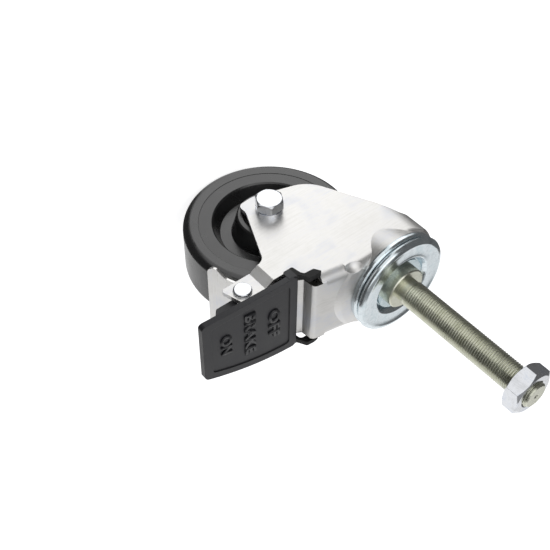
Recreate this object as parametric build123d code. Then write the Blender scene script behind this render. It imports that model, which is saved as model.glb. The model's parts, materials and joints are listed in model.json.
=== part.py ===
from build123d import *
import math
import os

# Swivel castor with a threaded stem and a pedal brake. Sizes are in millimetres.
# The origin is on the swivel axis, in the top face of the stem's collar. +Z runs up the stem,
# the wheel trails towards +X, and the axle bolt's head is on the -Y side.

# running and assembly clearances
slip = 0.05
running_gap = 0.2
side_gap = 0.4

# axle, measured back from the swivel axis and down from the collar
lead = 36.0
axle_drop = 78.5

# stem
stem_r = 8.0
stem_length = 95.5
stem_chamfer = 1.2
neck_r = 7.3
neck_length = 3.0
drill_r = 1.5
drill_depth = 1.4
collar_height = 5.4
collar_edge = 0.6
kingpin_thread_r = 6.0
kingpin_tail = 1.0

# nut run to the end of the stem
stem_nut_flats = 25.4
stem_nut_height = 10.0
stem_tip = 2.0

# cap, seat washer and the two ball tracks of the swivel head
cap_sheet = 2.4
cap_r = 31.6
cap_flat_drop = 3.4
cap_crest_r = cap_r - 3.0
cap_rim_drop = 7.6
cap_dish = 0.4
cap_crest_rise = 0.5
cap_dish_r = 20.0
well_r = 0.535 * cap_r
well_top_r = well_r + 2.5
seat_washer_r = well_r - 0.5
collar_r = well_r - 4.1
seat_washer_thickness = 2.1
ball_r = 2.5
track_depth = 0.3
upper_track_r = 0.76 * cap_r
upper_ball_count = 24
lower_track_r = 13.0
lower_ball_count = 14
ring_r = cap_r - 0.3
ring_bore_r = upper_track_r - 4.5
ring_sheet = 1.6
ring_lip = 3.8
race_r = 17.5
race_sheet = 2.5
race_lip = 2.4
king_washer_r = 10.5
king_washer_thickness = 1.0
king_nut_flats = 19.0
king_nut_height = 7.0

# pressed fork
fork_sheet = 2.5
leg_out = 25.0
crown_front_r = cap_r + 1.4
crown_r = crown_front_r - 3.0
crown_step_r = crown_r + 6.3
crown_step_drop = 2.3
crown_foot_r = crown_r + 10.5
crown_foot_drop = 5.0
crown_hole_r = 9.5
flare_foot_r = crown_r - 5.4
flare_height = 16.5
roof_drop = 2.6
roof_bend_x = 28.8
roof_slope = 0.175
roof_end_x = lead + 14.3
fold_r = 6.0
front_corner_r = 15.0
front_edge_r = 3.0
skirt_z = -26.5
arch_z = -24.0
arch_half = 20.0
arch_corner_r = 8.0
leg_bow_run = 19.1
leg_bow_rise = 30.4
leg_bow_r = 120.0
leg_toe_run = 32.1
leg_toe_drop = 4.6
leg_toe_r = 22.0
leg_sole_run = 1.5
leg_sole_drop = 14.6
leg_sole_r = 10.0
leg_heel_run = 12.2
leg_heel_drop = 13.6
leg_heel_r = 3.5
leg_ankle_run = 11.8
leg_ankle_drop = 6.8
leg_ankle_r = 8.0
leg_rear_run = 27.2
leg_rear_rise = 27.9
joggle_x = lead + 32.3
joggle_run = 5.6
joggle_depth = 3.4
ear_top_z = -34.6
ear_low_z = -48.7
ear_end_x = lead + 57.9
relief_r = 4.2
relief_drop = 2.9
dimple_x = 29.3
dimple_r = 8.5
dimple_depth = 0.9
tongue_gap = 0.3

# wheel
wheel_r = 50.0
tyre_half = 16.5
shoulder_r = 4.5
core_r = 41.0
core_face_drop = 0.2
recess_r = 32.5
recess_foot_r = 28.5
web_half = 8.5
hub_root_r = 22.0
hub_r = 18.8
hub_half = 21.6
hub_bore_r = 11.0
bush_flange_r = 14.5
bush_flange = 2.0
bush_inset = 1.0
bush_foot = 6.0
sleeve_r = 7.5

# axle fasteners
axle_r = 5.0
axle_head_flats = 15.0
axle_head_height = 6.4
lock_washer_r = 8.0
lock_washer_thickness = 2.6
axle_washer_r = 10.0
axle_washer_thickness = 2.0
axle_nut_flats = 17.0
axle_nut_height = 8.0
axle_tail = 2.0

# brake pin, lever and blade
pin_x = lead + 48.4
pin_z = -41.0
pin_r = 3.0
pin_head_r = 5.3
pin_head = 1.8
lever_sheet = 1.5
lever_front_x = lead + 30.0
blade_gap = 3.4
blade_tip_z = -66.6
blade_lean = 22.4
blade_flare_half = 23.6
blade_flare_rise = 5.8
blade_neck_rise = 11.1
blade_corner_r = 4.6
arm_rear_drop = 6.4
arm_low_drop = 9.3
arm_low_run = 4.5
arm_toe_run = 7.2
arm_toe_drop = 6.7
arm_front_rise = 5.8

# brake pedal
pedal_off_x = lead + 22.6
pedal_off_z = -26.0
pedal_on_x = lead + 81.2
pedal_on_z = -33.1
pedal_off_half = 28.4
pedal_on_half = 21.8
pedal_side_bow = 1.3
pedal_face_bow = 1.3
pedal_corner_r = 3.0
pedal_plate = 2.5
pedal_rim = 3.6
pedal_wall = 2.2
pedal_seat = 4.2
panel_on_margin = 5.0
panel_off_margin = 5.0
panel_side_margin = 4.4
panel_depth = 0.6
panel_corner_r = 2.0
lug_thickness = 3.0
lug_reach = 12.6
lug_rise = 4.9
lug_root = 5.0
lug_neck_run = 3.6
lug_neck = 4.6
lug_depth = 7.3
lug_hook = 3.8
housing_depth = 9.8
housing_length = 15.6
housing_half = 18.0
housing_wall = 2.0
screw_r = 1.75
screw_head_r = 3.2
screw_head = 1.4
screw_bite = 3.0
screw_y = 10.0
screw_inset = 4.5
screw_pitch = 14.5

leg_in = leg_out - fork_sheet
ear_out = leg_out - joggle_depth
ear_in = ear_out - fork_sheet
lever_out = ear_in - running_gap
lever_in = lever_out - lever_sheet
lug_in = leg_out + side_gap
far = 2 * wheel_r

# heights down the swivel head, from the collar's top face
washer_top = -collar_height
well_z = washer_top - seat_washer_thickness
cap_under = -cap_flat_drop - cap_sheet
upper_ball_z = cap_under + track_depth - slip - ball_r
ring_top = upper_ball_z - ball_r - slip + track_depth
crown_top = ring_top - ring_sheet
crown_low = crown_top - fork_sheet
lower_ball_z = crown_low + track_depth - slip - ball_r
race_top = lower_ball_z - ball_r - slip + track_depth
race_low = race_top - race_sheet
king_washer_low = race_low - king_washer_thickness
king_nut_low = king_washer_low - king_nut_height
roof_top = crown_top - roof_drop


def turned(points):
    """Body of revolution about the swivel axis from (radius, z) corners."""
    return revolve(make_face(Polyline(*[(r, 0, z) for r, z in points], close=True)), Axis.Z, 360)


def turned_on_axle(points):
    """Body of revolution about the axle from (radius, y) corners."""
    ring = revolve(make_face(Polyline(*[(r, y, 0) for r, y in points], close=True)), Axis.Y, 360)
    return Pos(lead, 0, -axle_drop) * ring


def ring(outer, inner, low, high):
    return turned([(inner, low), (outer, low), (outer, high), (inner, high)])


def crosswise(radius, y_low, y_high, x=lead, z=-axle_drop):
    """Cylinder along Y, on the axle unless x and z are given."""
    return Pos(x, (y_low + y_high) / 2, z) * Rot(90, 0, 0) * Cylinder(radius, y_high - y_low)


def outline_face(points, rounded):
    """Face from (x, z) corners. rounded maps a corner's index to its radius."""
    face = make_face(Polyline(*[(x, 0, z) for x, z in points], close=True))
    for index, radius in rounded.items():
        x, z = points[index]
        face = fillet(face.vertices().sort_by_distance((x, 0, z))[0], radius)
    return face


def side_plate(points, y_low, y_high, rounded={}):
    face = outline_face(points, rounded)
    return extrude(Pos(0, y_low, 0) * face, y_high - y_low, dir=(0, 1, 0))


def hexagon(flats, height):
    """Nut blank standing on Z, with a 30 degree chamfer on the corners of both faces."""
    corner = flats / math.sqrt(3)
    face_r = flats * 0.475
    drop = (corner - face_r) * math.tan(math.radians(30))
    blank = extrude(Rot(0, 0, 30) * RegularPolygon(corner, 6), height)
    return blank & turned([(0, 0), (face_r, 0), (corner, drop), (corner, height - drop),
                           (face_r, height), (0, height)])


def track(track_r, z):
    return Pos(0, 0, z) * Torus(track_r, ball_r + slip)


def balls(track_r, count, z):
    turns = [2 * math.pi * i / count for i in range(count)]
    return [Pos(track_r * math.cos(a), track_r * math.sin(a), z) * Sphere(ball_r) for a in turns]


def make_stem():
    low = king_nut_low - kingpin_tail
    body = turned([
        (0, low), (kingpin_thread_r - kingpin_tail, low), (kingpin_thread_r, king_nut_low),
        (kingpin_thread_r, race_top), (stem_r, race_top), (stem_r, washer_top),
        (collar_r, washer_top), (collar_r, -collar_edge), (collar_r - collar_edge, 0),
        (neck_r, 0), (neck_r, neck_length), (stem_r, neck_length + stem_r - neck_r),
        (stem_r, stem_length - stem_chamfer), (stem_r - stem_chamfer, stem_length), (0, stem_length)])
    return body - turned([(0, stem_length - drill_depth), (drill_r, stem_length), (0, stem_length)])


def make_stem_nut():
    low = stem_length - stem_tip - stem_nut_height
    high = low + stem_nut_height
    bore = stem_r + slip
    lead_in = 0.8
    cut = turned([(0, low), (bore + lead_in, low), (bore, low + lead_in), (bore, high - lead_in),
                  (bore + lead_in, high), (0, high)])
    return Pos(0, 0, low) * hexagon(stem_nut_flats, stem_nut_height) - cut


def make_top_cap():
    """Dished cap: a well for the seat washer, a flat over the balls and a rim turned down."""
    t = cap_sheet
    bore = stem_r + slip
    flat = -cap_flat_drop
    edge = -cap_rim_drop
    points = [
        (bore, well_z), (well_r, well_z), (well_top_r, flat),
        ((well_top_r + cap_crest_r) / 2, flat - cap_dish), (cap_crest_r, flat + cap_crest_rise),
        (cap_r - 0.7, flat - 0.4), (cap_r, flat - 2.0), (cap_r - 1.2, edge),
        (cap_r - 2.6, edge), (cap_r - t - 0.2, cap_under), (well_top_r + 2.1, cap_under),
        (well_r + 1.5, well_z - t), (bore, well_z - t)]
    rounded = {1: 0.5, 2: 0.9, 3: cap_dish_r, 4: 1.6, 5: 1.6, 7: 0.6, 8: 0.6, 10: 0.8, 11: 1.2}
    cap = revolve(outline_face(points, rounded), Axis.Z, 360)
    return cap - track(upper_track_r, upper_ball_z)


def make_raceway_ring():
    """Lower track of the upper balls, with the rounded lip that shows under the cap."""
    lip_top = crown_top + ring_lip
    lip_in = upper_track_r + ball_r + 0.9
    points = [
        (ring_bore_r, crown_top), (ring_r - 0.4, crown_top), (ring_r, crown_top + 1.2),
        (ring_r, lip_top - 0.9), (ring_r - 1.2, lip_top), (lip_in + 0.8, lip_top),
        (lip_in, ring_top), (ring_bore_r, ring_top)]
    ring_body = revolve(outline_face(points, {1: 0.4, 3: 0.8, 4: 0.6, 5: 0.3}), Axis.Z, 360)
    return ring_body - track(upper_track_r, upper_ball_z)


def make_lower_race():
    wall = 1.2
    bore = kingpin_thread_r + running_gap
    points = [
        (bore, race_low), (race_r, race_low), (race_r, race_top + race_lip),
        (race_r - wall, race_top + race_lip), (race_r - wall, race_top), (bore, race_top)]
    dish = revolve(outline_face(points, {1: 1.0, 2: 0.4, 3: 0.4}), Axis.Z, 360)
    return dish - track(lower_track_r, lower_ball_z)


def make_king_nut():
    blank = Pos(0, 0, king_nut_low) * hexagon(king_nut_flats, king_nut_height)
    return blank - ring(kingpin_thread_r + slip, 0, king_nut_low, king_washer_low)


def fork_plan(inset):
    """Plan of the fork: a round front between two straight legs."""
    half = leg_out - inset
    front_r = crown_front_r - inset
    length = crown_front_r + roof_end_x
    band = Pos((roof_end_x - crown_front_r) / 2, 0) * Rectangle(length, 2 * half)
    plan = band & (Circle(front_r) + Pos(roof_end_x / 2, 0) * Rectangle(roof_end_x, 2 * half))
    corners = plan.vertices().sort_by(Axis.X)[:2]
    return fillet(corners, front_corner_r)


def folded_band(top, inset, tail_slope):
    """Sheet folded down at both sides: level up to the roof's bend, then sloping to the rear."""
    half = leg_out - inset
    z = top - inset
    corners = [(-half, z), (half, z), (half, -far), (-half, -far)]
    section = make_face(Polyline(*[(-crown_front_r, y, h) for y, h in corners], close=True))
    for y in (-half, half):
        section = fillet(section.vertices().sort_by_distance((-crown_front_r, y, z))[0], fold_r - inset)
    level = extrude(section, crown_front_r + roof_bend_x, dir=(1, 0, 0))
    rear_face = Pos(crown_front_r + roof_bend_x, 0, 0) * section
    run = roof_end_x - roof_bend_x
    tail = extrude(rear_face, run * math.hypot(1, tail_slope), dir=Vector(1, 0, -tail_slope).normalized())
    return level + tail


def crown_body(inset):
    """Outer form of the fork's head, set in by inset for the inner face of the sheet."""
    plan = Pos(0, 0, -far) * extrude(fork_plan(inset), 2 * far)
    top = crown_top - inset
    foot = top - crown_foot_drop
    dome = turned([(0, top), (crown_r - inset / 2, top), (crown_step_r - inset / 2, top - crown_step_drop),
                   (crown_foot_r - inset / 2, foot), (crown_foot_r, -far), (0, -far)])
    dome = dome & folded_band(crown_top, inset, 0)
    front_r = crown_front_r - inset
    nose = top - 0.7
    nose_face = outline_face([(0, top), (crown_r - 1, top), (front_r, nose), (front_r, -far), (0, -far)],
                             {2: front_edge_r - inset / 2})
    front = revolve(nose_face, Axis.Z, 360)
    rear = Pos(far / 2, 0, 0) * Box(far, 2 * far, 4 * far)
    body = (folded_band(roof_top, inset, roof_slope) + dome) & plan & (front + rear)
    flare_low = crown_top - flare_height
    flare = turned([(0, top), (crown_r - inset, top), (flare_foot_r - inset, flare_low), (0, flare_low)])
    return body + flare


def leg_outline():
    """Side view of the fork, as (x, z) corners, and the radius of each rounded corner."""
    x, z = lead, -axle_drop
    front = -crown_front_r
    tail_x = roof_end_x - 1.5
    points = [
        (front - 1, 0), (front - 1, skirt_z), (front + 11, skirt_z - 4.0),
        (front + leg_bow_run, z + leg_bow_rise), (x - leg_toe_run, z - leg_toe_drop),
        (x + leg_sole_run, z - leg_sole_drop), (x + leg_heel_run, z - leg_heel_drop),
        (x + leg_ankle_run, z - leg_ankle_drop), (x + leg_rear_run, z + leg_rear_rise),
        (x + leg_rear_run + 3.8, ear_low_z), (ear_end_x, ear_low_z), (ear_end_x - 4.5, ear_top_z),
        (tail_x + 8.2, ear_top_z), (tail_x + 3.6, ear_top_z + 6.5), (tail_x, ear_top_z + 8.6), (tail_x, 0)]
    rounded = {2: 6.0, 3: leg_bow_r, 4: leg_toe_r, 5: leg_sole_r, 6: leg_heel_r, 7: leg_ankle_r, 8: 6.0,
               10: 2.0, 11: 2.0, 12: 5.0, 13: 4.0}
    return points, rounded


def make_fork():
    t = fork_sheet
    points, rounded = leg_outline()
    keep = side_plate(points, -far, far, rounded)
    shell = crown_body(0) - crown_body(t)

    # legs behind the roof, stepped in to the brake's ears
    for side in (1, -1):
        outer = [(roof_end_x - 10, leg_out), (joggle_x, leg_out), (joggle_x + joggle_run, ear_out),
                 (ear_end_x + 1, ear_out)]
        inner = [(px, py - t) for px, py in reversed(outer)]
        face = make_face(Polyline(*[(px, side * py) for px, py in outer + inner], close=True))
        shell = shell + Pos(0, 0, -far) * extrude(face, far + ear_top_z + 8.6)
    fork = shell & keep

    # arch cut up into the front skirt
    arch_face = Pos(-crown_front_r, 0, arch_z - far / 2) * Rot(0, 90, 0) * RectangleRounded(
        far, 2 * arch_half, arch_corner_r)
    fork = fork - extrude(arch_face, crown_front_r - 8, both=True)

    # tongue: the roof carried on down between the legs
    roof_end = roof_top - roof_slope * (roof_end_x - roof_bend_x)
    upper = [(roof_end_x - 5.3, roof_end + 5.3 * roof_slope), (roof_end_x + 2.7, roof_end - 0.4),
             (roof_end_x + 3.6, roof_end - 8.4), (roof_end_x + 7.4, roof_end - 10.6)]
    under = [(roof_end_x + 6.1, roof_end - 12.8), (roof_end_x + 1.2, roof_end - 9.9),
             (roof_end_x + 0.3, roof_end - t - 0.4), (roof_end_x - 5.3, roof_end + 5.3 * roof_slope - t)]
    half = leg_in - tongue_gap
    fork = fork + side_plate(upper + under, -half, half, {1: 3.0, 2: 1.0, 5: 3.2, 6: 0.8})

    # relief holes where the fold ends beside the tongue, and a dimple where it meets the crown
    out = fold_r * (1 - math.sqrt(0.5))
    for side in (1, -1):
        low, high = sorted((side * (half + slip), side * far))
        fork = fork - crosswise(relief_r, low, high, roof_end_x + 0.9, roof_end - relief_drop)
        lift = (dimple_r - dimple_depth) * math.sqrt(0.5)
        fork = fork - Pos(dimple_x, side * (leg_out - out + lift), roof_top - out + lift) * Sphere(dimple_r)

    fork = fork - ring(crown_hole_r, 0, crown_low - t, crown_top)
    fork = fork - track(lower_track_r, lower_ball_z)
    fork = fork - crosswise(axle_r + slip, -far, far)
    return fork - crosswise(pin_r + slip, -far, far, pin_x, pin_z)


def make_tyre():
    block = turned_on_axle([(core_r, -tyre_half), (wheel_r, -tyre_half), (wheel_r, tyre_half),
                            (core_r, tyre_half)])
    rims = [e for e in block.edges().filter_by(GeomType.CIRCLE) if abs(e.radius - wheel_r) < 0.01]
    return fillet(rims, shoulder_r)


def make_wheel_core():
    face = tyre_half - core_face_drop
    seat = hub_half - bush_inset - bush_flange
    half = [
        (hub_bore_r, 0), (hub_bore_r, seat), (bush_flange_r + 1.0, seat), (bush_flange_r + 1.0, hub_half),
        (hub_r - 0.8, hub_half), (hub_r, hub_half - 0.8), (hub_root_r, web_half),
        (recess_foot_r, web_half), (recess_r, face - 0.8), (recess_r + 0.8, face),
        (core_r, face), (core_r, 0)]
    core = turned_on_axle(half) + turned_on_axle([(r, -y) for r, y in half])
    return core


def make_bush(side):
    """Flanged bush pressed into one end of the hub."""
    head = hub_half - bush_inset
    neck = head - bush_flange
    bore = sleeve_r + slip
    points = [(bore, bush_foot), (hub_bore_r, bush_foot), (hub_bore_r, neck), (bush_flange_r, neck),
              (bush_flange_r, head), (bore, head)]
    return turned_on_axle([(r, side * y) for r, y in points])


def make_axle_bolt():
    head_y = leg_out + lock_washer_thickness
    tail = leg_out + axle_washer_thickness + axle_nut_height + axle_tail
    head = Pos(lead, -head_y, -axle_drop) * Rot(90, 0, 30) * hexagon(axle_head_flats, axle_head_height)
    shank = crosswise(axle_r, -head_y, tail)
    end = shank.edges().filter_by(GeomType.CIRCLE).sort_by(Axis.Y)[-1]
    return head + chamfer(end, 0.9)


def make_lock_washer():
    washer = crosswise(lock_washer_r, -leg_out - lock_washer_thickness, -leg_out)
    split = Pos(lead + lock_washer_r, -leg_out, -axle_drop) * Rot(0, 0, 15) * Box(
        lock_washer_r, 4 * lock_washer_thickness, 0.8)
    return washer - crosswise(axle_r + running_gap, -far, far) - split


def make_axle_nut():
    low = leg_out + axle_washer_thickness
    blank = Pos(lead, low, -axle_drop) * Rot(-90, 0, 0) * hexagon(axle_nut_flats, axle_nut_height)
    return blank - crosswise(axle_r + slip, -far, far)


def make_brake_pin():
    """Pin through both ears and the lever, with a head peened at each end."""
    pin = crosswise(pin_r, -ear_out, ear_out, pin_x, pin_z)
    for side in (-1, 1):
        low, high = sorted((side * ear_out, side * (ear_out + pin_head)))
        head = crosswise(pin_head_r, low, high, pin_x, pin_z)
        rims = head.edges().filter_by(GeomType.CIRCLE).sort_by(Axis.Y)
        pin = pin + fillet(rims[0 if side < 0 else -1], 1.0)
    return pin


def chord_z(x):
    """Height of the straight line between the pedal's two end edges."""
    share = (x - pedal_off_x) / (pedal_on_x - pedal_off_x)
    return pedal_off_z + share * (pedal_on_z - pedal_off_z)


def chord_half(x):
    share = (x - pedal_off_x) / (pedal_on_x - pedal_off_x)
    return pedal_off_half + share * (pedal_on_half - pedal_off_half)


def blade_x():
    """Lower edge of the blade's inner face, which stands off the tread."""
    return lead + math.sqrt((wheel_r + blade_gap) ** 2 - (blade_tip_z + axle_drop) ** 2)


def lever_rear_x():
    return blade_x() + lever_sheet


def screw_places():
    first = lever_front_x + screw_inset
    return [(x, y) for x in (first, first + screw_pitch) for y in (-screw_y, screw_y)]


def make_blade():
    """Flared blade, in a plane that leans towards the wheel as it rises to the lever's plate."""
    t = lever_sheet
    lean = math.radians(blade_lean)
    slope = (pedal_on_z - pedal_off_z) / (pedal_on_x - pedal_off_x)
    rise = chord_z(blade_x()) - pedal_seat - t / 2 - blade_tip_z
    top = rise / (math.cos(lean) + slope * math.sin(lean))
    half, wide = lever_out, blade_flare_half
    right = [(half, top), (half, blade_neck_rise), (wide, blade_flare_rise), (wide, 0)]
    corners = right + [(-y, up) for y, up in reversed(right)]
    face = make_face(Polyline(*corners, close=True))
    bends = [(half, blade_neck_rise, 5.0), (wide, blade_flare_rise, 1.5), (wide, 0, blade_corner_r)]
    for y, up, radius in bends:
        for side in (-1, 1):
            face = fillet(face.vertices().sort_by_distance((side * y, up, 0))[0], radius)
    outward = (math.cos(lean), 0, math.sin(lean))
    leaning = Plane(origin=(blade_x(), 0, blade_tip_z), x_dir=(0, 1, 0), z_dir=outward)
    return leaning * extrude(face, t)


def make_brake_lever():
    """Folded steel lever: plate under the pedal, an arm at each side and the brake blade."""
    t = lever_sheet
    front, rear = lever_front_x, lever_rear_x()
    plate = side_plate([
        (front, chord_z(front) - pedal_seat), (rear, chord_z(rear) - pedal_seat),
        (rear, chord_z(rear) - pedal_seat - t), (front, chord_z(front) - pedal_seat - t)],
        -lever_out, lever_out)
    arm = [
        (front + 1, chord_z(front + 1) - pedal_seat - t / 2), (rear, chord_z(rear) - pedal_seat - t / 2),
        (rear, pin_z - arm_rear_drop), (pin_x - 1.0, pin_z - arm_low_drop),
        (pin_x - arm_low_run, pin_z - arm_low_drop), (pin_x - arm_toe_run, pin_z - arm_toe_drop),
        (front + 1, pin_z + arm_front_rise)]
    lever = plate + make_blade()
    for low in (-lever_out, lever_in):
        lever = lever + side_plate(arm, low, low + t, {2: 2.0, 5: 3.0, 6: 1.5})
    for x, y in screw_places():
        lever = lever - Pos(x, y, chord_z(x) - pedal_seat) * Cylinder(screw_r + slip, 4 * t)
    return lever - crosswise(pin_r + slip, -far, far, pin_x, pin_z)


def pedal_plan(off_margin, on_margin, side_margin, corner_r):
    """Prism over the pedal's plan, which narrows to the ON end between two bowed sides."""
    x0, x1 = pedal_off_x + off_margin, pedal_on_x - on_margin
    xm = (x0 + x1) / 2
    y0, y1 = chord_half(x0) - side_margin, chord_half(x1) - side_margin
    ym = chord_half(xm) - side_margin + pedal_side_bow
    edges = [
        Line((x0, -y0), (x0, y0)), ThreePointArc((x0, y0), (xm, ym), (x1, y1)),
        Line((x1, y1), (x1, -y1)), ThreePointArc((x1, -y1), (xm, -ym), (x0, -y0))]
    face = make_face(edges)
    face = fillet(face.vertices(), corner_r)
    return Pos(0, 0, -far) * extrude(face, 2 * far)


def pedal_layer(high, low):
    """Everything between two depths under the pedal's bowed face, wider than the pedal."""
    over = 8.0
    x0, x1 = pedal_off_x - over, pedal_on_x + over
    xm = (pedal_off_x + pedal_on_x) / 2
    length = pedal_on_x - pedal_off_x
    end_drop = pedal_face_bow * ((length / 2 + over) ** 2 / (length / 2) ** 2)

    def arc(depth):
        crest = chord_z(xm) + pedal_face_bow
        ends = [(x, 0, chord_z(x) + pedal_face_bow - end_drop - depth) for x in (x0, x1)]
        return ends[0], (xm, 0, crest - depth), ends[1]

    a, b = arc(high), arc(low)
    face = make_face([ThreePointArc(*a), Line(a[2], b[2]), ThreePointArc(*b), Line(b[0], a[0])])
    return extrude(Pos(0, -far, 0) * face, 2 * far, dir=(0, 1, 0))


def make_brake_pedal():
    """Moulded pedal: skirted plate with a sunk panel, lugs beside the fork and a rear housing."""
    block = pedal_plan(0, 0, 0, pedal_corner_r) & pedal_layer(0, pedal_rim)
    room = pedal_plan(pedal_wall, pedal_wall, pedal_wall, pedal_corner_r - 1)
    pedal = block - (room & pedal_layer(pedal_plate, 3 * pedal_rim))
    panel = pedal_plan(panel_off_margin, panel_on_margin, panel_side_margin, panel_corner_r)
    pedal = pedal - (panel & pedal_layer(-2 * pedal_rim, panel_depth))

    # pad that the lever's plate is screwed to
    front, rear = lever_front_x, lever_rear_x()
    pedal = pedal + side_plate([
        (front, chord_z(front) - pedal_plate + 1), (rear, chord_z(rear) - pedal_plate + 1),
        (rear, chord_z(rear) - pedal_seat), (front, chord_z(front) - pedal_seat)],
        -lever_out + 1, lever_out - 1)
    for x, y in screw_places():
        top = chord_z(x) - pedal_seat + screw_bite
        pedal = pedal - Pos(x, y, top - screw_bite) * Cylinder(screw_r + slip, 2 * screw_bite)

    # housing behind the blade, open below
    x0 = rear + side_gap
    x1 = x0 + housing_length
    low = chord_z(x0) - pedal_plate - housing_depth
    w = housing_wall
    shape = [(x0, chord_z(x0) - 0.8), (x1, chord_z(x1) - 0.8), (x1, low + 5), (x1 - 4, low), (x0, low)]
    room = [(x0 + w, chord_z(x0) - w), (x1 - w, chord_z(x1) - w), (x1 - w, low + 5.8),
            (x1 - 4 - w, low - 1), (x0 + w, low - 1)]
    housing = side_plate(shape, -housing_half, housing_half, {2: 2.0, 3: 2.0})
    pedal = pedal + (housing - side_plate(room, -housing_half + w, housing_half - w))

    # lugs that reach past the OFF end, one beside each leg
    x, z = pedal_off_x, pedal_off_z
    neck_x = x - lug_neck_run
    lug = [
        (x + lug_root, z - 1.4), (x + lug_root, z - lug_depth), (neck_x + 1.8, z - lug_depth),
        (neck_x + 0.4, z + 0.3), (x - lug_reach + 2.6, z + 0.8), (x - lug_reach, z + lug_rise),
        (x - lug_reach + lug_hook, z + lug_rise + 0.5), (neck_x - 0.6, z + 0.4 + lug_neck),
        (neck_x + 2.6, z - 0.6)]
    rounded = {1: 1.5, 2: 1.0, 3: 2.0, 4: 1.2, 5: 0.5, 7: 1.5}
    for low_y in (lug_in, -lug_in - lug_thickness):
        pedal = pedal + side_plate(lug, low_y, low_y + lug_thickness, rounded)
    return pedal


def make_pedal_screws():
    screws = []
    for x, y in screw_places():
        seat = chord_z(x) - pedal_seat
        under = seat - lever_sheet - 0.45
        tip = seat + screw_bite - running_gap
        shank = Pos(x, y, (tip + under) / 2) * Cylinder(screw_r, tip - under)
        head = Pos(x, y, under - screw_head / 2) * Cylinder(screw_head_r, screw_head)
        screws.append((shank + head).solid())
    return screws


parts = {
    "stem": make_stem(),
    "stem_nut": make_stem_nut(),
    "top_cap": make_top_cap(),
    "seat_washer": ring(seat_washer_r, stem_r + slip, well_z, washer_top),
    "upper_balls": balls(upper_track_r, upper_ball_count, upper_ball_z),
    "raceway_ring": make_raceway_ring(),
    "lower_balls": balls(lower_track_r, lower_ball_count, lower_ball_z),
    "lower_race": make_lower_race(),
    "king_washer": ring(king_washer_r, kingpin_thread_r + running_gap, king_washer_low, race_low),
    "king_nut": make_king_nut(),
    "fork": make_fork(),
    "axle_bolt": make_axle_bolt(),
    "axle_lock_washer": make_lock_washer(),
    "axle_washer": crosswise(axle_washer_r, leg_out, leg_out + axle_washer_thickness)
    - crosswise(axle_r + running_gap, -far, far),
    "axle_nut": make_axle_nut(),
    "axle_sleeve": crosswise(sleeve_r, -leg_in, leg_in) - crosswise(axle_r + slip, -far, far),
    "tyre": make_tyre(),
    "wheel_core": make_wheel_core(),
    "bush_near": make_bush(-1),
    "bush_far": make_bush(1),
    "brake_pin": make_brake_pin(),
    "brake_lever": make_brake_lever(),
    "brake_pedal": make_brake_pedal(),
    "pedal_screws": make_pedal_screws(),
}

os.makedirs("parts", exist_ok=True)
for name, shape in parts.items():
    solids = shape if isinstance(shape, list) else list(shape.solids())
    part = Compound(children=solids) if len(solids) > 1 else solids[0]
    part.label = name
    export_step(part, f"parts/{name}.step")
    print(name, len(solids), "solid, volume", round(sum(s.volume for s in solids), 1))
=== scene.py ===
import bpy
import bmesh
import json
import math
from mathutils import Matrix, Vector


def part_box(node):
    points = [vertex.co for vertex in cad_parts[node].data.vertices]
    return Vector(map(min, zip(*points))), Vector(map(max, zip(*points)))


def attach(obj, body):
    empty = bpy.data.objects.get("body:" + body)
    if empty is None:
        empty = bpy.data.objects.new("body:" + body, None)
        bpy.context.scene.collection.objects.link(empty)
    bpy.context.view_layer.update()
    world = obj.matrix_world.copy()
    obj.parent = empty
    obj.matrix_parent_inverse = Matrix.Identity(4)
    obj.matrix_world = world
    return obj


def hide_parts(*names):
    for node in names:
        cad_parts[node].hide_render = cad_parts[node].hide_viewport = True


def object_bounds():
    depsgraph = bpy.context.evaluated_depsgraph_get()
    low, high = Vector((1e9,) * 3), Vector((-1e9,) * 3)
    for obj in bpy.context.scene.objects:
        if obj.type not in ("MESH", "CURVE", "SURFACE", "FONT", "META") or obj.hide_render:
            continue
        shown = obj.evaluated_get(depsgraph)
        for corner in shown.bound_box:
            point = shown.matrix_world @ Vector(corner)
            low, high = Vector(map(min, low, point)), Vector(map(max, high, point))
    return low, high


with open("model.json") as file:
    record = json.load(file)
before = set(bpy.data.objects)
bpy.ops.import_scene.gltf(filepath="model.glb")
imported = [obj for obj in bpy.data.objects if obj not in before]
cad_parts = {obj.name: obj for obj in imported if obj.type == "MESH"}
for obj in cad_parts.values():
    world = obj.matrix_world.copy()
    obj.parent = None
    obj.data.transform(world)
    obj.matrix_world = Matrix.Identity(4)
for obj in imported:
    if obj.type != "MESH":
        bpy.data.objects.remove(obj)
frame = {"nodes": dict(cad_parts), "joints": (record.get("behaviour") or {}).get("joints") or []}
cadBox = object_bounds()
nodes = frame["nodes"]
wheelAxle = next(j["pos_m"] for j in frame["joints"] if j["name"] == "wheel_spin")
scene = bpy.context.scene
print("frame loaded,", len(nodes), "nodes")

mm = 0.001
weldGap = 0.004 * mm             # points nearer to each other than this are one point


def linearColour(hexText):
    # an sRGB colour such as "#f7f8fb", as the linear RGBA that a shader takes
    channels = [int(hexText[i:i + 2], 16) / 255 for i in (1, 3, 5)]
    return tuple(c / 12.92 if c <= 0.04045 else ((c + 0.055) / 1.055) ** 2.4 for c in channels) + (1.0,)


def addNode(tree, kind, settings=None, links=None, **values):
    # one node with its settings, its input values and the sockets that feed it
    node = tree.nodes.new(kind)
    for key, value in (settings or {}).items():
        setattr(node, key, value)
    for key, value in values.items():
        node.inputs[key.replace("_", " ")].default_value = value
    for key, socket in (links or {}).items():
        tree.links.new(socket, node.inputs[key])
    return node


def newMaterial(name):
    # a Principled material, with its tree, its shader and the piece's own coordinates
    material = bpy.data.materials.new(name)
    material.use_nodes = True
    tree = material.node_tree
    shader = tree.nodes["Principled BSDF"]
    place = addNode(tree, "ShaderNodeTexCoord").outputs["Object"]
    return material, tree, shader, place


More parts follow.
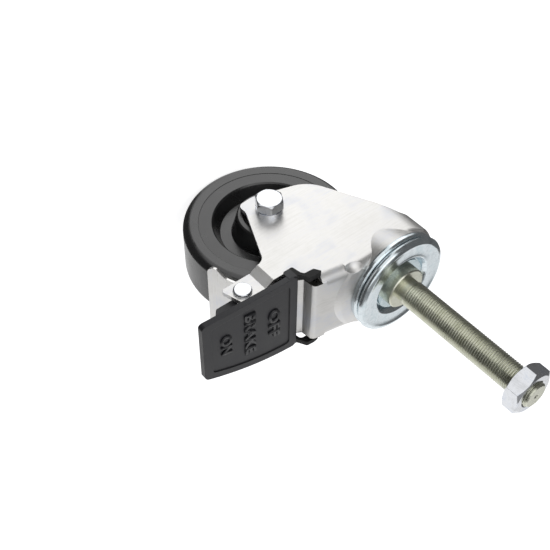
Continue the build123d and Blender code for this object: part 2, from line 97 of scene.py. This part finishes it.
def colourRamp(tree, source, stops):
    # a socket of 0 to 1 turned into the colours at the stops
    node = addNode(tree, "ShaderNodeValToRGB", links={"Fac": source})
    while len(node.color_ramp.elements) < len(stops):
        node.color_ramp.elements.new(0.5)
    for element, (at, colour) in zip(node.color_ramp.elements, stops):
        element.position = at
        element.color = linearColour(colour)
    return node.outputs["Color"]


def mathNode(tree, operation, *terms):
    # one step of arithmetic on sockets or numbers
    node = addNode(tree, "ShaderNodeMath", {"operation": operation})
    for socket, term in zip(node.inputs, terms):
        if hasattr(term, "is_linked"):
            tree.links.new(term, socket)
        else:
            socket.default_value = term
    return node.outputs[0]


def meshPiece(name, points, faces):
    # a new mesh object in the scene
    mesh = bpy.data.meshes.new(name)
    mesh.from_pydata([tuple(p) for p in points], [], faces)
    mesh.update()
    piece = bpy.data.objects.new(name, mesh)
    scene.collection.objects.link(piece)
    return piece


stageValues = {
    "fillColour": "#f7f8fb",
    "fillStrength": 0.55,        # world light on the object, white where it is seen directly
    "floorHeight": cadBox[0][2] - 0.1 * mm,     # just under the tread's lowest line
    "floorSize": 3.0,            # metres
    "floorColour": "#f3f3f3",
    "floorGlow": 0.8,            # lifts the floor to the photo's plain white, shadow kept faint
    "flagRadius": 0.9,           # metres from the centre
    "flagSteps": 12,             # faces along each side of a flag
    "centre": (30 * mm, 0, -30 * mm),
    # dark flags round the object, which only its reflections see: degrees round from +X towards +Z, and
    # degrees up from the plane across the wheel towards -Y
    "flags": {
        "sideFlag": {"turn": (-105, 35), "rise": (-38, 50), "shade": 0.10},
        "frontFlag": {"turn": (108, 205), "rise": (-38, 76), "shade": 0.13},
        "rearFlag": {"turn": (205, 236), "rise": (-38, 8), "shade": 0.12},
        "lowFlag": {"turn": (35, 108), "rise": (-38, 0), "shade": 0.30},
        "roofCard": {"turn": (95, 165), "rise": (-62, -38), "shade": 0.84},
    },
}


def buildWorld(v):
    # white where the camera, glass or a reflection sees it, and a dimmer fill for the light on the object
    world = bpy.data.worlds.new("studioWhite")
    world.use_nodes = True
    tree = world.node_tree
    tree.nodes.clear()
    path = addNode(tree, "ShaderNodeLightPath")
    seen = mathNode(tree, "MAXIMUM", path.outputs["Is Camera Ray"], path.outputs["Is Transmission Ray"])
    seenOrGloss = mathNode(tree, "MAXIMUM", seen, path.outputs["Is Glossy Ray"])
    white = addNode(tree, "ShaderNodeBackground", Color=(1, 1, 1, 1), Strength=1.0)
    fill = addNode(tree, "ShaderNodeBackground", Color=linearColour(v["fillColour"]),
                   Strength=v["fillStrength"])
    mix = addNode(tree, "ShaderNodeMixShader", links={"Fac": seenOrGloss})
    tree.links.new(fill.outputs[0], mix.inputs[1])
    tree.links.new(white.outputs[0], mix.inputs[2])
    addNode(tree, "ShaderNodeOutputWorld", links={"Surface": mix.outputs[0]})
    scene.world = world
    scene.view_settings.view_transform = "Standard"


def buildFloor(v):
    # pale floor that keeps the object's shadow and looks white to the camera
    half, z = v["floorSize"] / 2, v["floorHeight"]
    floor = meshPiece("paleFloor", [(-half, -half, z), (half, -half, z), (half, half, z), (-half, half, z)],
                      [(0, 1, 2, 3)])
    material = bpy.data.materials.new("paintedFloor")
    material.use_nodes = True
    tree = material.node_tree
    tree.nodes.clear()
    paint = addNode(tree, "ShaderNodeBsdfDiffuse", Color=linearColour(v["floorColour"]))
    path = addNode(tree, "ShaderNodeLightPath")
    glowStrength = mathNode(tree, "MULTIPLY", path.outputs["Is Camera Ray"], v["floorGlow"])
    glow = addNode(tree, "ShaderNodeEmission", links={"Strength": glowStrength}, Color=(1, 1, 1, 1))
    both = addNode(tree, "ShaderNodeAddShader")
    tree.links.new(paint.outputs[0], both.inputs[0])
    tree.links.new(glow.outputs[0], both.inputs[1])
    addNode(tree, "ShaderNodeOutputMaterial", links={"Surface": both.outputs[0]})
    floor.data.materials.append(material)
    floor.visible_glossy = False
    floor.visible_shadow = False


def buildFlag(name, v, flag):
    # a curved card of the shade given, seen in reflections only
    steps, shade = v["flagSteps"], flag["shade"]
    points, faces = [], []
    for i in range(steps + 1):
        rise = math.radians(flag["rise"][0] + (flag["rise"][1] - flag["rise"][0]) * i / steps)
        for j in range(steps + 1):
            turn = math.radians(flag["turn"][0] + (flag["turn"][1] - flag["turn"][0]) * j / steps)
            out = math.cos(rise)
            ray = Vector((out * math.cos(turn), -math.sin(rise), out * math.sin(turn)))
            points.append(Vector(v["centre"]) + ray * v["flagRadius"])
    for i in range(steps):
        for j in range(steps):
            k = i * (steps + 1) + j
            faces.append((k, k + 1, k + steps + 2, k + steps + 1))
    card = meshPiece(name, points, faces)
    material = bpy.data.materials.new(name + "Cloth")
    material.use_nodes = True
    tree = material.node_tree
    tree.nodes.clear()
    cloth = addNode(tree, "ShaderNodeEmission", Color=(shade, shade, shade, 1.0), Strength=1.0)
    addNode(tree, "ShaderNodeOutputMaterial", links={"Surface": cloth.outputs[0]})
    card.data.materials.append(material)
    card.visible_camera = card.visible_diffuse = card.visible_shadow = False
    card.visible_transmission = card.visible_volume_scatter = False


def addSoftbox(name, place, aim, size, power):
    # a square lamp that faces the aim
    light = bpy.data.lights.new(name, "AREA")
    light.shape = "SQUARE"
    light.size = size
    light.energy = power
    lamp = bpy.data.objects.new(name, light)
    scene.collection.objects.link(lamp)
    lamp.location = place
    lamp.rotation_euler = (Vector(aim) - Vector(place)).to_track_quat("-Z", "Y").to_euler()


cameraValues = {
    # solved from the photograph's circles and edges, in the part's own frame
    "place": (302.3921 * mm, -426.1352 * mm, 252.4385 * mm),
    "right": (-0.7766018, -0.0041655, 0.629978),
    "down": (0.4586508, 0.6817955, 0.5699073),
    "forward": (-0.4318901, 0.7315309, -0.5275731),
    "lens": 66.9217,             # millimetres, on a sensor as wide as the next line says
    "sensor": 36.0,
    "nearest": 0.01,             # metres
    "farthest": 20.0,
}


def buildCamera(v):
    # stands where the photo was taken from
    data = bpy.data.cameras.new("photoCamera")
    data.lens, data.sensor_width = v["lens"], v["sensor"]
    data.clip_start, data.clip_end = v["nearest"], v["farthest"]
    camera = bpy.data.objects.new("photoCamera", data)
    scene.collection.objects.link(camera)
    turn = Matrix([v["right"], [-c for c in v["down"]], [-c for c in v["forward"]]]).transposed()
    camera.matrix_world = Matrix.Translation(v["place"]) @ turn.to_4x4()
    scene.camera = camera


buildWorld(stageValues)
buildFloor(stageValues)
for flagName, flag in stageValues["flags"].items():
    buildFlag(flagName, stageValues, flag)
buildCamera(cameraValues)
print("stage and camera set")


def stretched(tree, place, scale):
    # coordinates scaled down along an axis or two, where a noise on them draws out into lines
    return addNode(tree, "ShaderNodeMapping", links={"Vector": place}, Scale=scale).outputs[0]


def inBands(tree, place, bands):
    # 1 where every axis named is between its two limits, else 0; a name that ends in Either takes both sides
    split = addNode(tree, "ShaderNodeSeparateXYZ", links={"Vector": place})
    inside = 1.0
    for axis, (low, high) in bands.items():
        along = split.outputs[axis[0].upper()]
        if axis.endswith("Either"):
            along = mathNode(tree, "ABSOLUTE", along)
        inside = mathNode(tree, "MULTIPLY", inside, mathNode(tree, "GREATER_THAN", along, low))
        inside = mathNode(tree, "MULTIPLY", inside, mathNode(tree, "LESS_THAN", along, high))
    return inside


def patchOver(tree, shader, mask, colour, roughness):
    # another colour and roughness where the mask is 1, over what the shader already has. A Mix node's
    # sockets share their names, so they go by number: 0 the mask, 2 and 3 the values, 6 and 7 the colours
    was = {name: shader.inputs[name].links[0].from_socket for name in ("Base Color", "Roughness")}
    paint = addNode(tree, "ShaderNodeMix", {"data_type": "RGBA"}, {0: mask, 6: was["Base Color"]})
    paint.inputs[7].default_value = linearColour(colour)
    dull = addNode(tree, "ShaderNodeMix", {"data_type": "FLOAT"}, {0: mask, 2: was["Roughness"]})
    dull.inputs[3].default_value = roughness
    tree.links.new(paint.outputs[2], shader.inputs["Base Color"])
    tree.links.new(dull.outputs[0], shader.inputs["Roughness"])


platingValues = {
    # what every zinc finish has in common
    "cloudDetail": 4.0,
    "lineDetail": 2.0,
    "cloudShare": 0.7,           # of the bath's clouds in the patchiness, beside the drawn lines
    "lineShare": 0.3,
    "darkAt": 0.32,              # patchiness at which each of the three colours stands
    "lightAt": 0.5,
    "tintAt": 0.7,
    "patchLow": 0.3,             # patchiness over which the roughness changes
    "patchHigh": 0.7,
    "roughLow": 0.85,            # shares of the finish's own roughness
    "roughHigh": 1.18,
    "lineHeight": 0.6,           # of the drawn lines, where the grain's height is 1
    "reliefDepth": 0.05 * mm,
    "edgeSamples": 4,
}


def zincPlate(name, v, common=platingValues):
    # electroplated zinc over pressed or turned steel, passivated blue, or olive on the stem: bright and
    # nearly mirror-like, with the bath's cloudiness and the drawn lines of the sheet or bar showing through
    material, tree, shader, place = newMaterial(name)
    cloud = addNode(tree, "ShaderNodeTexNoise", links={"Vector": place}, Scale=v["cloudScale"],
                    Detail=common["cloudDetail"])
    drawn = addNode(tree, "ShaderNodeTexNoise", links={"Vector": stretched(tree, place, v["drawn"])},
                    Scale=v["drawnScale"], Detail=common["lineDetail"])
    patch = mathNode(tree, "ADD", mathNode(tree, "MULTIPLY", cloud.outputs["Fac"], common["cloudShare"]),
                     mathNode(tree, "MULTIPLY", drawn.outputs["Fac"], common["lineShare"]))
    tint = colourRamp(tree, patch, [(common["darkAt"], v["dark"]), (common["lightAt"], v["light"]),
                                    (common["tintAt"], v["tint"])])
    tree.links.new(tint, shader.inputs["Base Color"])
    shader.inputs["Metallic"].default_value = 1.0
    rough = addNode(tree, "ShaderNodeMapRange", links={"Value": patch},
                    From_Min=common["patchLow"], From_Max=common["patchHigh"],
                    To_Min=v["roughness"] * common["roughLow"], To_Max=v["roughness"] * common["roughHigh"])
    tree.links.new(rough.outputs["Result"], shader.inputs["Roughness"])
    grain = addNode(tree, "ShaderNodeTexNoise", links={"Vector": place}, Scale=v["grainScale"],
                    Detail=common["lineDetail"])
    lines = mathNode(tree, "MULTIPLY", drawn.outputs["Fac"], common["lineHeight"])
    height = mathNode(tree, "ADD", grain.outputs["Fac"], lines)
    rounded = addNode(tree, "ShaderNodeBevel", {"samples": common["edgeSamples"]}, Radius=v["edge"])
    bump = addNode(tree, "ShaderNodeBump", links={"Height": height, "Normal": rounded.outputs[0]},
                   Strength=v["grainStrength"], Distance=common["reliefDepth"])
    tree.links.new(bump.outputs[0], shader.inputs["Normal"])
    # painted shade: a near-black colour over the fork tongue's sheared edges, with the duller roughness of a
    # cut edge
    if v.get("cutEdgeAndShade"):
        patchOver(tree, shader, inBands(tree, place, v["cutEdgeAndShade"]), v["cutEdgeShadeColour"], v["cutRoughness"])
    return material


mouldingValues = {
    # what every moulded plastic has in common
    "cloudDetail": 3.0,
    "grainDetail": 1.0,
    "ringDetail": 2.0,
    "cloudLow": 0.3,             # cloudiness over which colour and roughness change
    "cloudHigh": 0.7,
    "roughLow": 0.9,             # shares of the plastic's own roughness
    "roughHigh": 1.12,
    "grainUnderRings": 0.5,      # height of the grain, where the rings' height is 1
    "reliefDepth": 0.06 * mm,
    "edgeSamples": 4,
}


def mouldedPlastic(name, v, common=mouldingValues):
    # injection-moulded polymer with the fine spark-eroded grain of its tool, and on the wheel the rings
    # that its turned mould left
    material, tree, shader, place = newMaterial(name)
    cloud = addNode(tree, "ShaderNodeTexNoise", links={"Vector": place}, Scale=v["cloudScale"],
                    Detail=common["cloudDetail"])
    tint = colourRamp(tree, cloud.outputs["Fac"], [(common["cloudLow"], v["dark"]),
                                                   (common["cloudHigh"], v["light"])])
    tree.links.new(tint, shader.inputs["Base Color"])
    shader.inputs["IOR"].default_value = v["ior"]
    rough = addNode(tree, "ShaderNodeMapRange", links={"Value": cloud.outputs["Fac"]},
                    From_Min=common["cloudLow"], From_Max=common["cloudHigh"],
                    To_Min=v["roughness"] * common["roughLow"], To_Max=v["roughness"] * common["roughHigh"])
    tree.links.new(rough.outputs["Result"], shader.inputs["Roughness"])
    grain = addNode(tree, "ShaderNodeTexNoise", links={"Vector": place}, Scale=v["grainScale"],
                    Detail=common["grainDetail"])
    height = grain.outputs["Fac"]
    if v["rings"]:
        # a noise of the distance from the axle alone
        fromAxle = addNode(tree, "ShaderNodeMapping", links={"Vector": place},
                           Location=[-c for c in wheelAxle])
        flat = addNode(tree, "ShaderNodeVectorMath", {"operation": "MULTIPLY"}, {0: fromAxle.outputs[0]})
        flat.inputs[1].default_value = (1, 0, 1)
        far = addNode(tree, "ShaderNodeVectorMath", {"operation": "LENGTH"}, {0: flat.outputs[0]})
        rings = addNode(tree, "ShaderNodeTexNoise", {"noise_dimensions": "1D"}, {"W": far.outputs["Value"]},
                        Scale=v["rings"], Detail=common["ringDetail"])
        under = mathNode(tree, "MULTIPLY", height, common["grainUnderRings"])
        height = mathNode(tree, "ADD", under, rings.outputs["Fac"])
    rounded = addNode(tree, "ShaderNodeBevel", {"samples": common["edgeSamples"]}, Radius=v["edge"])
    bump = addNode(tree, "ShaderNodeBump", links={"Height": height, "Normal": rounded.outputs[0]},
                   Strength=v["grainStrength"], Distance=common["reliefDepth"])
    tree.links.new(bump.outputs[0], shader.inputs["Normal"])
    # painted shade: near black on the lugs beside the legs, where the head's shadow falls
    if v.get("lugs"):
        patchOver(tree, shader, inBands(tree, place, v["lugs"]), v["lugShadeColour"], v["lugRoughness"])
    return material


metalValues = {
    # drawn lines run along the sheet or bar; scales are per metre, so 900 is a grain of about 1 mm
    "forkZinc": {
        # pressed sheet: broad, soft reflections
        "dark": "#d6d5d2", "light": "#e6e5e3", "tint": "#e0e2e8", "roughness": 0.43,
        "cloudScale": 60, "drawn": (0.06, 1, 1), "drawnScale": 1100,
        "grainScale": 900, "grainStrength": 0.13, "edge": 0.35 * mm,
        # the tongue's sheared edges beside the legs, where the plating is thin and dull: the near-black
        # colour there is painted shade, and the higher roughness is the dull cut edge
        "cutEdgeAndShade": {"yEither": (21.9 * mm, 22.42 * mm), "x": (47.6 * mm, 70 * mm), "z": (-40 * mm, 0)},
        "cutEdgeShadeColour": "#3c3b39", "cutRoughness": 0.6,
    },
    "leverZinc": {
        # thinner sheet, folded: a little sharper than the fork
        "dark": "#d6d5d2", "light": "#e6e5e3", "tint": "#e0e2e8", "roughness": 0.3,
        "cloudScale": 60, "drawn": (1, 0.06, 1), "drawnScale": 1100,
        "grainScale": 900, "grainStrength": 0.13, "edge": 0.3 * mm,
    },
    "capZinc": {
        # deep-pressed and bright: sharp bands of light and dark, faintly blue
        "dark": "#c6d0d6", "light": "#e0e8ec", "tint": "#cbdae0", "roughness": 0.17,
        "cloudScale": 110, "drawn": (1, 1, 0.1), "drawnScale": 500,
        "grainScale": 700, "grainStrength": 0.06, "edge": 0.3 * mm,
    },
    "boltZinc": {
        # forged and tumbled: each facet clear of the next
        "dark": "#cfd1d4", "light": "#e4e6ea", "tint": "#d3d9e4", "roughness": 0.17,
        "cloudScale": 150, "drawn": (1, 0.2, 0.2), "drawnScale": 900,
        "grainScale": 1200, "grainStrength": 0.08, "edge": 0.3 * mm,
    },
    "stemZinc": {
        # yellower passivation over a cut thread: an olive grey
        "dark": "#b9baac", "light": "#d9dacb", "tint": "#c3c4b0", "roughness": 0.3,
        "cloudScale": 120, "drawn": (1, 1, 0.1), "drawnScale": 900,
        "grainScale": 1500, "grainStrength": 0.06, "edge": 0.1 * mm,
    },
    "washerZinc": {
        # the bluest of them, in the shade of the cap's well
        "dark": "#b4c3c8", "light": "#cddade", "tint": "#a9c0c8", "roughness": 0.2,
        "cloudScale": 120, "drawn": (1, 1, 0.3), "drawnScale": 700,
        "grainScale": 900, "grainStrength": 0.08, "edge": 0.2 * mm,
    },
}
plasticValues = {
    "wheelNylon": {
        # hard, smooth and black: the face mirrors a grey sheen
        "dark": "#0c0c0d", "light": "#121213", "ior": 1.78, "roughness": 0.28,
        "cloudScale": 70, "grainScale": 1600, "grainStrength": 0.16, "rings": 1300, "edge": 0.4 * mm,
    },
    "treadRubber": {
        # a shade paler than the core, with the same sheen
        "dark": "#0e0e0f", "light": "#151516", "ior": 1.8, "roughness": 0.26,
        "cloudScale": 80, "grainScale": 1200, "grainStrength": 0.16, "rings": 1100, "edge": 0.3 * mm,
    },
    "pedalPolyamide": {
        # grained and matt: an even charcoal
        "dark": "#212124", "light": "#2a2a2e", "ior": 1.5, "roughness": 0.4,
        "cloudScale": 120, "grainScale": 2200, "grainStrength": 0.3, "rings": 0, "edge": 0.35 * mm,
        # painted shade: the two lugs beside the legs are coloured near black, as the shadow of the head
        # falls on them
        "lugs": {"yEither": (24.9 * mm, 40 * mm), "x": (0, 58.7 * mm)},
        "lugShadeColour": "#070708", "lugRoughness": 0.62,
    },
    "bushAcetal": {
        # slippery and black, deep in the hub
        "dark": "#0e0e0f", "light": "#151516", "ior": 1.48, "roughness": 0.3,
        "cloudScale": 100, "grainScale": 1500, "grainStrength": 0.1, "rings": 0, "edge": 0.2 * mm,
    },
}
finishes = {name: zincPlate(name, v) for name, v in metalValues.items()}
finishes.update({name: mouldedPlastic(name, v) for name, v in plasticValues.items()})
wornBy = {
    "forkZinc": ["fork"],
    "leverZinc": ["brake_lever"],
    "capZinc": ["top_cap", "raceway_ring", "upper_balls", "lower_balls"],
    "washerZinc": ["seat_washer", "lower_race", "king_washer"],
    "boltZinc": ["stem_nut", "axle_bolt", "axle_nut", "axle_lock_washer", "axle_washer", "axle_sleeve",
                 "brake_pin", "pedal_screws", "king_nut"],
    "stemZinc": ["stem"],
    "wheelNylon": ["wheel_core"],
    "treadRubber": ["tyre"],
    "pedalPolyamide": ["brake_pedal"],
    "bushAcetal": ["bush_near", "bush_far"],
}


def dress(piece, material):
    # one material for the whole piece
    piece.data.materials.clear()
    piece.data.materials.append(material)


for finish, wearers in wornBy.items():
    for name in wearers:
        dress(nodes[name], finishes[finish])
print("materials set")

threadValues = {
    "Radius": 8.0 * mm,          # M16
    "Depth": 0.92 * mm,
    "Pitch": 1.5 * mm,
    "Crest Flat": 0.125,         # shares of the pitch
    "Root Flat": 0.25,
    "Low": 3.7 * mm,             # where the thread begins and ends, above the collar's top
    "High": 95.5 * mm,
    "Chamfer": 1.2 * mm,
    "Neck": 7.3 * mm,            # radius of the plain neck below it
    "Rows Per Turn": 8,
    "Steps": 72,                 # faces round the stem
}
stemValues = {
    "collarRadius": 12.8 * mm,
    "collarEdge": 0.6 * mm,
    "collarHeight": 5.4 * mm,
    "raceTop": -18.85 * mm,      # where the stem steps in to the king pin
    "kingPinRadius": 6.0 * mm,
    "kingPinEdge": 1.0 * mm,
    "drillRadius": 1.5 * mm,
    "drillDepth": 1.4 * mm,
    "crispAngle": 40,            # degrees; flatter edges are shaded smooth
}


def threadTree():
    # a grid wound round the stem, whose rows follow the helix, so that crest and root stay crisp
    tree = bpy.data.node_groups.new("screwThread", "GeometryNodeTree")
    face = tree.interface
    face.new_socket("Geometry", in_out="OUTPUT", socket_type="NodeSocketGeometry")
    for name in ("Radius", "Depth", "Pitch", "Crest Flat", "Root Flat", "Low", "High", "Chamfer", "Neck"):
        face.new_socket(name, in_out="INPUT", socket_type="NodeSocketFloat")
    for name in ("Rows Per Turn", "Steps"):
        face.new_socket(name, in_out="INPUT", socket_type="NodeSocketInt")
    face.new_socket("Finish", in_out="INPUT", socket_type="NodeSocketMaterial")
    given = tree.nodes.new("NodeGroupInput").outputs
    length = mathNode(tree, "SUBTRACT", given["High"], given["Low"])
    turns = mathNode(tree, "DIVIDE", length, given["Pitch"])
    rows = mathNode(tree, "MULTIPLY", mathNode(tree, "CEIL", mathNode(tree, "ADD", turns, 1.0)),
                    given["Rows Per Turn"])
    grid = tree.nodes.new("GeometryNodeMeshGrid")
    grid.inputs["Size X"].default_value = grid.inputs["Size Y"].default_value = 1.0
    tree.links.new(mathNode(tree, "ADD", given["Steps"], 1.0), grid.inputs["Vertices X"])
    tree.links.new(mathNode(tree, "ADD", rows, 1.0), grid.inputs["Vertices Y"])
    place = tree.nodes.new("GeometryNodeInputPosition")
    split = tree.nodes.new("ShaderNodeSeparateXYZ")
    tree.links.new(place.outputs[0], split.inputs[0])
    turn = mathNode(tree, "ADD", split.outputs["X"], 0.5)
    row = mathNode(tree, "MULTIPLY", mathNode(tree, "ADD", split.outputs["Y"], 0.5), rows)
    climb = mathNode(tree, "ADD", mathNode(tree, "DIVIDE", row, given["Rows Per Turn"]),
                     mathNode(tree, "SUBTRACT", turn, 1.0))
    raw = mathNode(tree, "MULTIPLY_ADD", climb, given["Pitch"], given["Low"])
    z = mathNode(tree, "MINIMUM", mathNode(tree, "MAXIMUM", raw, given["Low"]), given["High"])
    above = mathNode(tree, "SUBTRACT", z, given["Low"])
    # where a point lies between two crests: 1 on a crest's middle, 0 on a root's; the whole turns added keep
    # the number above zero
    wholeTurns = 100.0
    wound = mathNode(tree, "SUBTRACT", mathNode(tree, "DIVIDE", above, given["Pitch"]), turn)
    phase = mathNode(tree, "FRACT", mathNode(tree, "ADD", wholeTurns, wound))
    fromRoot = mathNode(tree, "ABSOLUTE", mathNode(tree, "MULTIPLY_ADD", phase, 2.0, -1.0))
    flankTop = mathNode(tree, "SUBTRACT", 1.0, given["Crest Flat"])
    flank = mathNode(tree, "SUBTRACT", flankTop, given["Root Flat"])
    slope = mathNode(tree, "DIVIDE", mathNode(tree, "SUBTRACT", flankTop, fromRoot), flank)
    groove = mathNode(tree, "MINIMUM", mathNode(tree, "MAXIMUM", slope, 0.0), 1.0)
    runIn = mathNode(tree, "MINIMUM", mathNode(tree, "DIVIDE", above, given["Pitch"]), 1.0)
    cut = mathNode(tree, "MULTIPLY", mathNode(tree, "MULTIPLY", groove, runIn), given["Depth"])
    radius = mathNode(tree, "SUBTRACT", given["Radius"], cut)
    lowCone = mathNode(tree, "ADD", given["Neck"], above)
    left = mathNode(tree, "SUBTRACT", given["High"], z)
    topCone = mathNode(tree, "ADD", mathNode(tree, "SUBTRACT", given["Radius"], given["Chamfer"]), left)
    radius = mathNode(tree, "MINIMUM", mathNode(tree, "MINIMUM", radius, lowCone), topCone)
    angle = mathNode(tree, "MULTIPLY", turn, 2 * math.pi)
    join = tree.nodes.new("ShaderNodeCombineXYZ")
    tree.links.new(mathNode(tree, "MULTIPLY", radius, mathNode(tree, "COSINE", angle)), join.inputs["X"])
    tree.links.new(mathNode(tree, "MULTIPLY", radius, mathNode(tree, "SINE", angle)), join.inputs["Y"])
    tree.links.new(z, join.inputs["Z"])
    put = tree.nodes.new("GeometryNodeSetPosition")
    tree.links.new(grid.outputs["Mesh"], put.inputs["Geometry"])
    tree.links.new(join.outputs[0], put.inputs["Position"])
    merge = tree.nodes.new("GeometryNodeMergeByDistance")
    merge.inputs["Distance"].default_value = weldGap
    tree.links.new(put.outputs[0], merge.inputs["Geometry"])
    real = tree.nodes.new("GeometryNodeRealizeInstances")
    tree.links.new(merge.outputs[0], real.inputs[0])
    finish = tree.nodes.new("GeometryNodeSetMaterial")
    tree.links.new(real.outputs[0], finish.inputs["Geometry"])
    tree.links.new(given["Finish"], finish.inputs["Material"])
    tree.links.new(finish.outputs[0], tree.nodes.new("NodeGroupOutput").inputs[0])
    return tree


def meshFromNodes(name, tree, values):
    # runs a node tree on an empty piece and returns its plain mesh
    holder = meshPiece(name + "Holder", [], [])
    modifier = holder.modifiers.new("make", "NODES")
    modifier.node_group = tree
    for item in tree.interface.items_tree:
        if item.in_out == "INPUT" and item.name in values:
            modifier[item.identifier] = values[item.name]
    bpy.context.view_layer.update()
    made = bpy.data.meshes.new_from_object(holder.evaluated_get(bpy.context.evaluated_depsgraph_get()))
    made.name = name
    bpy.data.objects.remove(holder)
    return made


def addTurned(work, profile, steps):
    # rings of faces about the swivel axis through (radius, height) points; a zero radius closes the form
    angles = [2 * math.pi * i / steps for i in range(steps)]
    loops = []
    for radius, z in profile:
        if radius == 0:
            loops.append([work.verts.new((0, 0, z))])
            continue
        loops.append([work.verts.new((radius * math.cos(a), radius * math.sin(a), z)) for a in angles])
    for one, two in zip(loops, loops[1:]):
        for i in range(steps):
            j = (i + 1) % steps
            corners = [one[i % len(one)], one[j % len(one)], two[j % len(two)], two[i % len(two)]]
            work.faces.new(list(dict.fromkeys(corners)))


def buildStem(thread, stem, material):
    # the coil, with the collar and king pin below it and the drilled end above, in one closed mesh
    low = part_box("stem")[0][2]
    steps = thread["Steps"]
    coil = meshFromNodes("threadedStem", threadTree(), dict(thread, Finish=material))
    work = bmesh.new()
    work.from_mesh(coil)
    neck, collar, edge = thread["Neck"], stem["collarRadius"], stem["collarEdge"]
    pin = stem["kingPinRadius"]
    addTurned(work, [
        (neck, thread["Low"]), (neck, 0), (collar - edge, 0), (collar, -edge),
        (collar, -stem["collarHeight"]), (thread["Radius"], -stem["collarHeight"]),
        (thread["Radius"], stem["raceTop"]), (pin, stem["raceTop"]),
        (pin, low + stem["kingPinEdge"]), (pin - stem["kingPinEdge"], low), (0, low)], steps)
    end = thread["Radius"] - thread["Chamfer"]
    addTurned(work, [(end, thread["High"]), (stem["drillRadius"], thread["High"]),
                     (0, thread["High"] - stem["drillDepth"])], steps)
    bmesh.ops.remove_doubles(work, verts=work.verts, dist=weldGap)
    bmesh.ops.recalc_face_normals(work, faces=work.faces)
    for polygon in work.faces:
        polygon.smooth = True
    crisp = math.radians(stem["crispAngle"])
    for line in work.edges:
        line.smooth = len(line.link_faces) == 2 and line.calc_face_angle(0) < crisp
    mesh = bpy.data.meshes.new("threadedStem")
    work.to_mesh(mesh)
    work.free()
    piece = bpy.data.objects.new("threadedStem", mesh)
    scene.collection.objects.link(piece)
    dress(piece, material)
    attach(piece, "stem")
    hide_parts("stem")
    return piece


threadedStem = buildStem(threadValues, stemValues, finishes["stemZinc"])
print("stem threaded,", len(threadedStem.data.polygons), "faces")

wordValues = {
    "offX": 58.6 * mm,           # the pedal's two ends, as in the CAD
    "offZ": -26.0 * mm,
    "onX": 117.2 * mm,
    "onZ": -33.1 * mm,
    "bow": 1.3 * mm,             # how far the face rises between the ends
    "panelDepth": 0.6 * mm,      # from the face down to the panel that the words stand on
    "raise": 0.8 * mm,           # of the letters above the panel
    "sunk": 0.1 * mm,            # how far the letters reach under the panel's face
    "stroke": 0.04,              # thickens the strokes, as a share of the letter size
    "curveSteps": 6,             # points along each stretch of a letter's outline
    "letterWeld": 1e-5,          # as a share of the letter size
    # distance from the ON end to the middle of the word, middle across, letter height and word width
    "words": {
        "OFF": (43.3 * mm, -0.2 * mm, 7.4 * mm, 22.0 * mm),
        "BRAKE": (28.0 * mm, -1.4 * mm, 6.8 * mm, 32.2 * mm),
        "ON": (13.5 * mm, -0.7 * mm, 6.9 * mm, 14.8 * mm),
    },
}


def pedalTop(v, x):
    # height and slope of the pedal's bowed face
    middle, half = (v["offX"] + v["onX"]) / 2, (v["onX"] - v["offX"]) / 2
    fall = (v["onZ"] - v["offZ"]) / (v["onX"] - v["offX"])
    height = v["offZ"] + fall * (x - v["offX"]) + v["bow"] * (1 - ((x - middle) / half) ** 2)
    return height, fall - 2 * v["bow"] * (x - middle) / half ** 2


def buildWord(v, word, material):
    # a word of raised letters that stand on the pedal's panel
    along, across, tall, wide = v["words"][word]
    curve = bpy.data.curves.new("word" + word, "FONT")
    curve.body = word
    curve.offset = v["stroke"]
    curve.resolution_u = v["curveSteps"]
    letters = bpy.data.objects.new("word" + word, curve)
    scene.collection.objects.link(letters)
    flat = bpy.data.meshes.new_from_object(letters.evaluated_get(bpy.context.evaluated_depsgraph_get()))
    bpy.data.objects.remove(letters)
    xs, ys = [p.co.x for p in flat.vertices], [p.co.y for p in flat.vertices]
    x0, y0 = (min(xs) + max(xs)) / 2, (min(ys) + max(ys)) / 2
    xScale, yScale = wide / (max(xs) - min(xs)), tall / (max(ys) - min(ys))
    work = bmesh.new()
    work.from_mesh(flat)
    bmesh.ops.remove_doubles(work, verts=work.verts, dist=v["letterWeld"])
    x = v["onX"] - along
    z, slope = pedalTop(v, x)
    up = Vector((-1, 0, -slope)).normalized()      # tops of the letters point to the stem
    right = Vector((0, 1, 0))
    out = right.cross(up)
    base = Vector((x, across, z)) - out * (v["panelDepth"] + v["sunk"])
    for point in work.verts:
        point.co = base + right * (point.co.x - x0) * xScale + up * (point.co.y - y0) * yScale
    tops = bmesh.ops.extrude_face_region(work, geom=work.faces[:])["geom"]
    rise = out * (v["raise"] + v["sunk"])
    bmesh.ops.translate(work, vec=rise, verts=[g for g in tops if isinstance(g, bmesh.types.BMVert)])
    bmesh.ops.recalc_face_normals(work, faces=work.faces)
    mesh = bpy.data.meshes.new("word" + word)
    work.to_mesh(mesh)
    work.free()
    piece = bpy.data.objects.new("word" + word, mesh)
    scene.collection.objects.link(piece)
    dress(piece, material)
    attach(piece, "brake")


for word in wordValues["words"]:
    buildWord(wordValues, word, finishes["pedalPolyamide"])
print("words set on the pedal")

lampValues = {
    # place in the part's own frame and side of the box in metres, power in watts
    "keySoftbox": {"place": (-0.39, -0.61, -0.53), "size": 0.62, "power": 0.68},
    "topSoftbox": {"place": (0.10, -0.52, 0.70), "size": 0.5, "power": 0.5},
}
for lampName, lamp in lampValues.items():
    addSoftbox(lampName, lamp["place"], stageValues["centre"], lamp["size"], lamp["power"])
